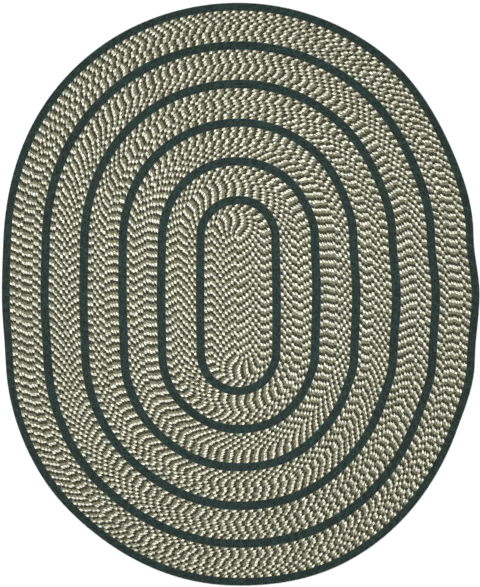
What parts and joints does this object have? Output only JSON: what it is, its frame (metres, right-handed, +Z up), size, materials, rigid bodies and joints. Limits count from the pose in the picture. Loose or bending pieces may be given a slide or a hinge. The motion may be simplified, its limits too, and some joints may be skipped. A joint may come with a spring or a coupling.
{
  "type": "braided rug",
  "caption": "Flat oval rug of three-strand cords laid edge to edge: wide tweed bands between narrow dark rings.",
  "frame": {"origin": "on the floor under the middle of the rug's bounding box", "axes": "+Z up out of the rug's face; +Y along its length, towards the top of the picture; +X to the picture's right"},
  "size_m": [2.4392, 2.9766, 0.0127],
  "materials": {
    "tweed_yarn": "matt spun yarn in cream, taupe and dark strands",
    "dark_green_yarn": "matt spun yarn, dark green"
  },
  "bodies": {
    "root": {"centre_panel": "tweed_yarn", "dark_ring_1": "dark_green_yarn", "tweed_band_1": "tweed_yarn", "dark_ring_2": "dark_green_yarn", "tweed_band_2": "tweed_yarn", "dark_ring_3": "dark_green_yarn", "tweed_band_3": "tweed_yarn", "dark_ring_4": "dark_green_yarn", "tweed_band_4": "tweed_yarn", "dark_ring_5": "dark_green_yarn", "tweed_band_5": "tweed_yarn", "dark_rim": "dark_green_yarn"}
  },
  "joints": []
}
